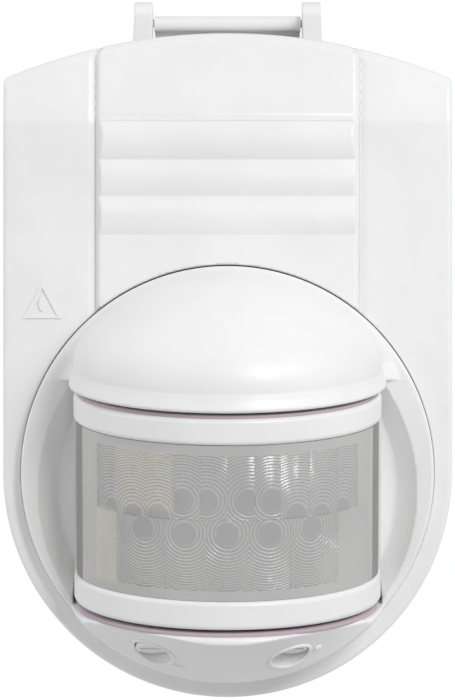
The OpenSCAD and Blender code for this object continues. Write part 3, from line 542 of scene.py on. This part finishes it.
def milky_with_crest_highlight(name, dark, pale, clear):
    """Thin milk-white plastic that lets a little of the inside show, paler on its crests as a painted
    highlight.
    """
    m, tree, shader = new_material(name)
    # milkiness from the groove attribute, which also carries a painted highlight on each ring's crest
    groove = add(tree, "ShaderNodeAttribute", attribute_name="groove")
    milk_and_crest_highlight = add(tree, "ShaderNodeMath", operation="MULTIPLY_ADD")
    milk_and_crest_highlight.inputs[1].default_value = 1.0
    tree.links.new(groove.outputs["Fac"], milk_and_crest_highlight.inputs[0])
    tree.links.new(ramp(tree, noise(tree, 45), -0.12, 0.12), milk_and_crest_highlight.inputs[2])
    warmth = add(tree, "ShaderNodeAttribute", attribute_name="warmth")
    warm = add(tree, "ShaderNodeMix", data_type="RGBA", blend_type="MULTIPLY")
    warm.inputs[7].default_value = (*WARM_TINT, 1)
    tree.links.new(warmth.outputs["Fac"], warm.inputs[0])
    tree.links.new(tint(tree, milk_and_crest_highlight.outputs[0], dark, pale), warm.inputs[6])
    tree.links.new(warm.outputs[2], shader.inputs["Base Color"])
    tree.links.new(ramp(tree, noise(tree, 300), 0.14, 0.2), shader.inputs["Roughness"])
    shader.inputs["Alpha"].default_value = 1 - clear
    shader.inputs["IOR"].default_value = 1.5
    return m


WHITE = moulded("white_plastic", (0.86, 0.86, 0.86), rough=0.38)
REAR_WHITE = moulded("rear_plastic", (0.82, 0.82, 0.82), rough=0.45, grain=0.35)
INNER = moulded("inner_plastic", (0.70, 0.71, 0.71), rough=0.5)
# mauve felt of the wipers: painted shade, the tone of the shaded gaps over and under the drum
WIPER_GAP_SHADE = moulded("felt_painted_gap_shade", (0.50, 0.41, 0.46), rough=0.85, grain=0.6)
# dark brown of the lens strips is painted shade: the strips are real, their darkness is the shade of the
# slots at the lens's ends
STRIP_SLOT_SHADE = moulded("strip_painted_slot_shade", (0.235, 0.215, 0.20), rough=0.5, vary=0.05)
# lens: milky plastic, with a painted highlight on each ring's crest
LENS = milky_with_crest_highlight("lens_plastic", (0.40, 0.40, 0.40), (0.66, 0.66, 0.655), 0.12)
RUBBER = moulded("seal_rubber", (0.03, 0.03, 0.032), rough=0.75, grain=0.5, wear=0.02)
STEEL = moulded("plated_steel", (0.62, 0.63, 0.65), rough=0.3, metal=1.0, grain_scale=1500, vary=0.06)
BOARD = moulded("board_lacquer", (0.02, 0.13, 0.05), rough=0.35, vary=0.15, wear=0.0)
BLACK = moulded("chip_black", (0.02, 0.02, 0.022), rough=0.5, wear=0.02)
COPPER = moulded("copper_wire", (0.75, 0.40, 0.18), rough=0.25, metal=1.0)
CELL = moulded("cell_sleeve", (0.03, 0.035, 0.05), rough=0.25, grain=0.1, vary=0.1)
BLUE = moulded("capacitor_sleeve", (0.02, 0.04, 0.14), rough=0.3, vary=0.1)
RED = moulded("button_red", (0.52, 0.06, 0.04), rough=0.4)
ORANGE = moulded("light_cell", (0.60, 0.25, 0.08), rough=0.2, vary=0.1)
SHEATH = moulded("lead_sheath", (0.07, 0.07, 0.08), rough=0.6)


# ---------- Pieces ----------

def extra_shells(mesh, *others):
    """Adds other closed meshes to a mesh."""
    work = bmesh.new()
    work.from_mesh(mesh)
    for other in others:
        work.from_mesh(other)
    work.to_mesh(mesh)
    work.free()


def ring_faces(count, sides, closed=True):
    """Quads between neighbouring rings of points, each ring with so many sides."""
    faces = []
    for i in range(count if closed else count - 1):
        j = (i + 1) % count
        for k in range(sides):
            m = (k + 1) % sides
            faces.append([i * sides + k, i * sides + m, j * sides + m, j * sides + k])
    return faces


def outward_mesh(name, points, faces, sharp_degrees):
    """Closed mesh with its faces turned outwards and sharp edges above an angle."""
    mesh = bpy.data.meshes.new(name)
    mesh.from_pydata(points, [], faces)
    work = bmesh.new()
    work.from_mesh(mesh)
    bmesh.ops.recalc_face_normals(work, faces=work.faces)
    work.to_mesh(mesh)
    work.free()
    mesh.shade_smooth()
    mesh.set_sharp_from_angle(angle=math.radians(sharp_degrees))
    return mesh


def prism(outline, holes, d0, d1):
    """Closed block with an X-Z outline from wall distance d0 to d1."""
    work = bmesh.new()
    loops = [outline] + holes
    rings = []
    for d in (d0, d1):
        rings.append([[work.verts.new((x * MM, -d * MM, z * MM)) for x, z in loop] for loop in loops])
    for near, far in zip(*rings):
        for i in range(len(near)):
            j = (i + 1) % len(near)
            work.faces.new((near[i], near[j], far[j], far[i]))
    for level in rings:
        edges = []
        for loop in level:
            for i in range(len(loop)):
                edges.append(work.edges.get((loop[i], loop[(i + 1) % len(loop)])))
        bmesh.ops.triangle_fill(work, edges=edges, use_beauty=True)
    bmesh.ops.recalc_face_normals(work, faces=work.faces)
    mesh = bpy.data.meshes.new("prism")
    work.to_mesh(mesh)
    work.free()
    return mesh


# targets of the lens as (angle, height) with the borders of their columns, mirrored
UPPER_TARGETS = [(7.9, 4.35), (16.9, 4.35), (26.6, 1.1), (37.5, 0.5), (48.5, 0.9)]
UPPER_BORDERS = [0, 10, 20, 32, 46, 58]
LOWER_TARGETS = [(0, -2.0), (16, -2.1), (33, -1.5)]
LOWER_BORDERS = [-8, 8, 24, 46]
ROW_BORDER = 0.6
PLAIN_EDGE = 2.0
CLEAR_R = 2.3
RING_PITCH = 0.78
RING_CLOSING = 0.045
FACET_SHARE = 0.72
FACET_SLOPE = 0.30
FACET_STEEPER = 0.02
GRID_A = 460
GRID_U = 196
# columns of the lens where the warm block shows, as its first and last angle
WARM_UPPER = (-48, -20)
WARM_LOWER = (-60, -44)
WARM_SPLIT = 1.5
WARM_FADE_A = 2
WARM_EDGE = 1.2


def front_cover():
    """The cover's mesh, with its flat faces merged."""
    return sculpt("front_cover", cover_field, (-45, 4.4, -66.4), (45, 35, 66.4), 0.45, flat=0.25)


def lens_point(angle, u):
    """Point of the lens's outer face, with its grooves, in metres."""
    r = LENS_R - lens_relief(angle, u)
    a = np.radians(angle)
    return from_drum(r * np.sin(a), r * np.cos(a), u)


def fresnel_lens():
    """Curved sheet whose outer face carries two rows of ringed lens targets."""
    fine_a, fine_u = UPPER_BORDERS[-1] + 1, LENS_H / 2 - PLAIN_EDGE + 0.2
    edge_a, edge_u = np.linspace(fine_a, LENS_A, 8)[1:], np.linspace(fine_u, LENS_H / 2, 5)[1:]
    middle_a, middle_u = np.linspace(-fine_a, fine_a, GRID_A), np.linspace(-fine_u, fine_u, GRID_U)
    angle, u = np.meshgrid(np.concatenate([-edge_a[::-1], middle_a, edge_a]),
                           np.concatenate([-edge_u[::-1], middle_u, edge_u]), indexing="ij")
    columns, rows = angle.shape[0] - 1, angle.shape[1] - 1
    outer = lens_point(angle, u).reshape(-1, 3)
    back_a = np.radians(angle[:, 0])
    back_r = LENS_R - LENS_T
    back = [from_drum(back_r * np.sin(back_a), back_r * np.cos(back_a), s * LENS_H / 2 + 0 * back_a)
            for s in (-1, 1)]
    count = outer.shape[0]
    at = np.arange(count).reshape(columns + 1, rows + 1)
    low = count + np.arange(columns + 1)
    high = low + columns + 1
    corners = [at[:-1, :-1], at[1:, :-1], at[1:, 1:], at[:-1, 1:]]
    faces = np.stack(corners, axis=-1).reshape(-1, 4).tolist()
    for i in range(columns):
        faces.append([low[i + 1], low[i], high[i], high[i + 1]])
        faces.append([low[i], low[i + 1], at[i + 1, 0], at[i, 0]])
        faces.append([high[i + 1], high[i], at[i, -1], at[i + 1, -1]])
    faces.append([low[0]] + at[0].tolist() + [high[0]])
    faces.append([high[-1]] + at[-1][::-1].tolist() + [low[-1]])
    mesh = bpy.data.meshes.new("fresnel_lens")
    mesh.from_pydata(np.concatenate([outer] + back), [], faces)
    # groove holds the lens's milkiness together with the painted crest highlights
    for attribute, value in (("groove", lens_milk_and_crest_highlight(angle, u)), ("warmth", lens_warmth(angle, u))):
        values = np.zeros(len(mesh.vertices))
        values[:count] = value.reshape(-1)
        mesh.attributes.new(attribute, "FLOAT", "POINT").data.foreach_set("value", values)

    # exact normals on the grooved face, flat ones on the edges and the back
    reach_a, reach_u = 0.05, 0.03
    along = lens_point(angle + reach_a, u) - lens_point(angle - reach_a, u)
    up = lens_point(angle, u + reach_u) - lens_point(angle, u - reach_u)
    normal = np.cross(along, up).reshape(-1, 3)
    normal /= np.linalg.norm(normal, axis=1)[:, None]
    grooved = columns * rows
    mesh.shade_smooth()
    loops = np.zeros(len(mesh.loops), np.int64)
    mesh.loops.foreach_get("vertex_index", loops)
    split = np.zeros((len(loops), 3))
    split[:grooved * 4] = normal[loops[:grooved * 4]]
    sides = np.zeros(len(mesh.polygons) * 3)
    mesh.polygons.foreach_get("normal", sides)
    totals = np.zeros(len(mesh.polygons), np.int64)
    mesh.polygons.foreach_get("loop_total", totals)
    split[grooved * 4:] = np.repeat(sides.reshape(-1, 3), totals, axis=0)[grooved * 4:]
    mesh.normals_split_custom_set(split)
    return mesh


def from_target(angle, u):
    """Distance from the nearest target's middle, or minus one outside the ringed columns."""
    side = np.abs(angle)
    away = np.full(np.shape(angle), -1.0)
    for row, targets, borders in ((1, UPPER_TARGETS, UPPER_BORDERS), (-1, LOWER_TARGETS, LOWER_BORDERS)):
        for (target_a, target_u), start, end in zip(targets, borders, borders[1:]):
            here = (side >= start) & (side < end) & (np.sign(u - ROW_BORDER) == row)
            here &= np.abs(u) < LENS_H / 2 - PLAIN_EDGE
            s = np.radians(side - target_a) * LENS_R
            away = np.where(here, np.hypot(s, u - target_u), away)
    return away


def ring_phase(away):
    """How many rings lie inside a point, and its distance from the clear target."""
    past = np.maximum(away - CLEAR_R, 0)
    return past / RING_PITCH + past ** 2 * RING_CLOSING, past


def lens_relief(angle, u):
    """Depth of the sloped rings under the lens's outer face, in millimetres."""
    away = from_target(angle, u)
    count, past = ring_phase(away)
    share = count - np.floor(count)
    pitch = 1 / (1 / RING_PITCH + 2 * past * RING_CLOSING)
    deepest = FACET_SHARE * pitch * (FACET_SLOPE + FACET_STEEPER * past)
    facet = np.minimum(share / FACET_SHARE, (1 - share) / (1 - FACET_SHARE))
    return np.where(past > 0, deepest * facet, 0)


def lens_milk_and_crest_highlight(angle, u):
    """How much milk-white the lens shows: low in the clear targets and grooves, high on the crests, where
    the paleness is a painted highlight.
    """
    away = from_target(angle, u)
    count, past = ring_phase(away)
    # each crest's paleness is a painted highlight
    crest_highlight = (0.5 + 0.5 * np.cos(2 * np.pi * count)) ** 3
    fade = np.clip(0.5 - past / 20, 0.15, 1)
    milk_with_highlight = np.where(past > 0, 0.5 + (crest_highlight - 0.35) * fade, 0.22)
    return np.where(away < 0, 0.6, milk_with_highlight)


def lens_warmth(angle, u):
    """How much of the warm inner block shows through at the left of the lens."""
    shown = 0
    for (first, last), inside in ((WARM_UPPER, u - WARM_SPLIT), (WARM_LOWER, WARM_SPLIT - u)):
        columns = np.clip((angle - first) / WARM_FADE_A, 0, 1) * np.clip((last - angle) / WARM_FADE_A, 0, 1)
        shown = shown + columns * np.clip(inside, 0, 1)
    return shown * np.clip(LENS_H / 2 - WARM_EDGE - np.abs(u), 0, 1)


def side_ear(sign):
    """The ear's mesh at the right, or mirrored to the left where sign is negative."""
    mesh = sculpt("ear", ear_field, (14.4, 0.2, 61.8), (19.3, 26.6, 73.5), 0.22)
    if sign < 0:
        mesh.transform(((-1, 0, 0, 0), (0, 1, 0, 0), (0, 0, 1, 0), (0, 0, 0, 1)))
        mesh.flip_normals()
    return mesh


def emblem():
    """Plain triangle with an oval pip, raised from the cover's face."""
    mid, apex, base, half, stroke = -36.3, 16.1, 9.1, 3.8, 0.5
    sunk, raised = FACE_Y - 0.2, FACE_Y + 0.3
    pip_up, pip_w, pip_h, pip_sides = 2.9, 0.75, 1.5, 28
    outside = [(mid, apex), (mid - half, base), (mid + half, base)]
    inside = [(mid, apex - 2.2 * stroke), (mid - half + 1.8 * stroke, base + stroke),
              (mid + half - 1.8 * stroke, base + stroke)]
    symbol = prism(outside, [inside], sunk, raised)
    turn = [2 * math.pi * i / pip_sides for i in range(pip_sides)]
    oval = [(mid + pip_w * math.cos(t), base + pip_up + pip_h * math.sin(t)) for t in turn]
    extra_shells(symbol, prism(oval, [], sunk, raised))
    return symbol


def tube(path, radii, closed):
    """Closed mesh of a round tube along points in millimetres, given as x, d, z."""
    path = np.array(path, float)
    count, sides = len(path), 12
    ahead, behind = np.roll(path, -1, axis=0), np.roll(path, 1, axis=0)
    if not closed:
        ahead[-1], behind[0] = path[-1], path[0]
    run = ahead - behind
    run /= np.linalg.norm(run, axis=1)[:, None]
    first = np.cross(run, (0, 1, 0))
    first /= np.linalg.norm(first, axis=1)[:, None]
    second = np.cross(run, first)
    turn = 2 * np.pi * np.arange(sides) / sides
    wheel = np.cos(turn)[None, :, None] * first[:, None] + np.sin(turn)[None, :, None] * second[:, None]
    points = path[:, None] + np.broadcast_to(radii, count)[:, None, None] * wheel
    points = points.reshape(-1, 3) * np.array([1, -1, 1]) * MM
    faces = ring_faces(count, sides, closed)
    if not closed:
        faces.append(list(range(sides))[::-1])
        faces.append([(count - 1) * sides + k for k in range(sides)])
    return outward_mesh("tube", points, faces, 60)


def recess_beads():
    """Fine bead along the foot of the recess's slope, on both sides of the drum."""
    foot_r, foot_d = RECESS_R - RECESS_D, RING_Y - RECESS_D - BEAD_SUNK
    beads = []
    for side in (0, math.pi):
        turn = [side + math.radians(a) for a in np.linspace(-BEAD_SPAN, BEAD_SPAN, 49)]
        path = [(foot_r * math.cos(t), foot_d, RECESS_Z + foot_r * math.sin(t)) for t in turn]
        beads.append(tube(path, BEAD_R, False))
    extra_shells(beads[0], beads[1])
    return beads[0]


def wiper(low, high):
    """Soft wiper ring that closes the gap over or under the drum."""
    inner_r, outer_r, round_r = DRUM_R - 3.0, DRUM_R - 0.55, 0.15
    section = [(inner_r, low), (outer_r - round_r, low), (outer_r, low + round_r),
               (outer_r, high - round_r), (outer_r - round_r, high), (inner_r, high)]
    turns = 144
    points = []
    for i in range(turns):
        t = 2 * math.pi * i / turns
        for r, u in section:
            x, out = np.array(r * math.sin(t)), np.array(r * math.cos(t))
            points.append(from_drum(x, out, np.array(u)))
    return outward_mesh("wiper", points, ring_faces(turns, len(section)), 50)


def chin_surface(x, along):
    """The d and z of the chin's cone, straight out of the well's floor at x and along."""
    out = 0.0
    for _ in range(12):
        d = WELL_Y + along * math.cos(WELL_TILT) + out * math.sin(WELL_TILT)
        z = WELL_Z + along * math.sin(WELL_TILT) - out * math.cos(WELL_TILT)
        out -= chin_field(math.hypot(x, z - HEAD_Z), d)
    return d, z


def on_chin(x, z):
    """Point of the chin's cone at x and z."""
    rad = math.hypot(x, z - HEAD_Z)
    d = CHIN_START_Y - (rad - HEAD_R) / math.tan(CHIN_ANGLE)
    for _ in range(12):
        d -= chin_field(rad, d)
    return x, d, z


def well_rim(well_x, marks):
    """Raised rim round a dial's well, with small raised pointer marks beside it."""
    rim_r = WELL_R + 0.25
    path = []
    for t in np.linspace(0, 2 * math.pi, 96, endpoint=False):
        x, along = well_x + rim_r * math.cos(t), rim_r * math.sin(t)
        path.append((x, *chin_surface(x, along)))
    rim = tube(path, 0.38, True)
    middle_z = chin_surface(well_x, 0)[1]
    for (x0, z0), (x1, z1), mark_r in marks:
        ends = [on_chin(well_x + x0, middle_z + z0), on_chin(well_x + x1, middle_z + z1)]
        between = tuple((a + b) / 2 for a, b in zip(*ends))
        extra_shells(rim, tube([ends[0], between, ends[1]], mark_r, False))
    return rim


# marks beside the wells: both ends as x and z from the well's middle, and the radius
TIME_MARKS = [((3.4, -2.3), (5.6, -2.9), 0.33), ((-4.4, 2.1), (-4.1, 0.9), 0.25)]
LUX_MARKS = [((-4.3, -1.3), (-3.8, -2.2), 0.25), ((4.9, 1.5), (6.0, 2.0), 0.5)]

piece("front_cover_shell", front_cover(), "housing", "white_case", WHITE, "front_cover")
for side_name, sign in (("left", -1), ("right", 1)):
    piece(f"{side_name}_hinge_ear", side_ear(sign), "housing", "white_case", WHITE)
piece("emblem", emblem(), "housing", "white_case", WHITE)
head_mesh = sculpt("head_shell", head_field, (-43, 23.2, -63), (43, 76, 23.4), 0.4)
piece("head_shell_body", head_mesh, "housing", "white_case", WHITE, "head_shell")
piece("lens", fresnel_lens(), "drum", "lens_milk", LENS, "fresnel_lens")
piece("recess_bead", recess_beads(), "housing", "white_case", WHITE)
# the wipers' mauve felt is painted shade of the gaps over and under the drum
piece("upper_wiper", wiper(DRUM_TOP - 0.1, DRUM_TOP + 0.55), "drum", "seal_rubber", WIPER_GAP_SHADE)
piece("lower_wiper", wiper(CHIN_TOP - 0.1, CHIN_TOP + 0.65), "housing", "seal_rubber", WIPER_GAP_SHADE)
piece("time_dial_rim", well_rim(TIME_X, TIME_MARKS), "housing", "white_case", WHITE)
piece("lux_dial_rim", well_rim(LUX_X, LUX_MARKS), "housing", "white_case", WHITE)

CAD_MATERIALS = {
    WHITE: ["time_dial", "lux_dial", "drum_body", "drum_cap"],
    REAR_WHITE: ["wall_bracket", "rear_cover", "battery_door"],
    INNER: ["battery_tray", "upper_bush", "lower_bush", "time_trimmer", "lux_trimmer",
            "sensor_shroud", "cable_socket"],
    # the strips' dark brown is painted shade of the slots beside the lens
    STRIP_SLOT_SHADE: ["left_lens_strip", "right_lens_strip"],
    RUBBER: ["case_gasket", "door_gasket", "head_seal", "time_dial_seal", "lux_dial_seal"],
    STEEL: ["case_screws", "hinge_pin", "lock_screw", "lock_nut", "battery_springs",
            "battery_contacts", "door_screws", "board_screws", "slide_switch", "head_screws",
            "friction_washer", "drum_screws", "infrared_sensor"],
    CELL: ["battery_cell_1", "battery_cell_2", "battery_cell_3"],
    BOARD: ["main_board", "switch_board", "dial_board", "sensor_board", "radio_module"],
    BLACK: ["controller_chip", "push_switch", "mode_slider", "lead_plug", "sensor_window"],
    COPPER: ["antenna_coil"],
    BLUE: ["capacitor"],
    RED: ["learn_button", "status_light"],
    ORANGE: ["daylight_sensor"],
    SHEATH: ["sensor_lead"],
}
for material, names in CAD_MATERIALS.items():
    for name in names:
        mesh = nodes[name].data
        mesh.materials.clear()
        mesh.materials.append(material)
        mesh.shade_smooth()
        mesh.set_sharp_from_angle(angle=math.radians(28))


# ---------- Stage, light and camera ----------

def plane(name, size, location):
    """Flat square of half-width size."""
    work = bmesh.new()
    bmesh.ops.create_grid(work, x_segments=8, y_segments=8, size=size)
    mesh = bpy.data.meshes.new(name)
    work.to_mesh(mesh)
    work.free()
    obj = bpy.data.objects.new(name, mesh)
    obj.location = location
    bpy.context.scene.collection.objects.link(obj)
    return obj


floor = plane("floor", 10.0, (0, 0, -1.5))
floor_pale = moulded("floor_pale", (0.78, 0.78, 0.78), rough=0.7, grain_scale=400, wear=0.0)
floor.data.materials.append(floor_pale)


def softbox(name, location, target, size, power):
    """Square area light of size metres, aimed at target."""
    data = bpy.data.lights.new(name, "AREA")
    data.shape = "RECTANGLE"
    data.size, data.size_y = size, size
    data.energy = power
    lamp = bpy.data.objects.new(name, data)
    lamp.location = location
    lamp.rotation_euler = (Vector(target) - Vector(location)).to_track_quat("-Z", "Y").to_euler()
    bpy.context.scene.collection.objects.link(lamp)


def lamp_place(turn, height, distance=1.12):
    """Where a lamp stands, by its turn to the right and its height, both in degrees."""
    a, e = math.radians(turn), math.radians(height)
    level = distance * math.cos(e)
    return (level * math.sin(a), -level * math.cos(a), distance * math.sin(e))


LAMP_TARGET = (0, -0.03, 0)
softbox("key_light", lamp_place(25, 22), LAMP_TARGET, 0.3, 4.7)
softbox("accent_light", lamp_place(50, 24), LAMP_TARGET, 0.12, 1.0)

world = bpy.data.worlds.new("studio")
world.use_nodes = True
bpy.context.scene.world = world
sky = world.node_tree
glow = None
# soft light from the left, the right and above
for direction, strength in (((-1, 0, 0), 1.14), ((1, 0, 0), 0.77), ((0, 0, 1), 0.47)):
    facing = add(sky, "ShaderNodeVectorMath", operation="DOT_PRODUCT")
    facing.inputs[1].default_value = direction
    sky.links.new(add(sky, "ShaderNodeTexCoord").outputs["Generated"], facing.inputs[0])
    part = add(sky, "ShaderNodeMath", operation="MULTIPLY")
    part.inputs[1].default_value = strength
    lit = add(sky, "ShaderNodeMath", operation="MAXIMUM")
    lit.inputs[1].default_value = 0.0
    sky.links.new(facing.outputs["Value"], lit.inputs[0])
    sky.links.new(lit.outputs[0], part.inputs[0])
    if glow is None:
        glow = part.outputs[0]
    else:
        total = add(sky, "ShaderNodeMath", operation="ADD")
        sky.links.new(glow, total.inputs[0])
        sky.links.new(part.outputs[0], total.inputs[1])
        glow = total.outputs[0]
# the camera sees plain white behind the object, which lights nothing
light_path = add(sky, "ShaderNodeLightPath")
room = sky.nodes["Background"]
room.inputs["Color"].default_value = (1, 1, 1, 1)
sky.links.new(glow, room.inputs["Strength"])
backdrop = add(sky, "ShaderNodeBackground", in_Color=(1, 1, 1, 1), in_Strength=1.0)
either = add(sky, "ShaderNodeMixShader")
sky.links.new(light_path.outputs["Is Camera Ray"], either.inputs[0])
sky.links.new(room.outputs[0], either.inputs[1])
sky.links.new(backdrop.outputs[0], either.inputs[2])
sky.links.new(either.outputs[0], sky.nodes["World Output"].inputs[0])

scene = bpy.context.scene
scene.view_settings.view_transform = "Standard"
camera_data = bpy.data.cameras.new("camera")
camera_data.lens = 262.0
camera = bpy.data.objects.new("camera", camera_data)
camera.location = (0, -1.031, 0.0029)
camera.rotation_euler = (math.pi / 2, 0, 0)
scene.collection.objects.link(camera)
scene.camera = camera
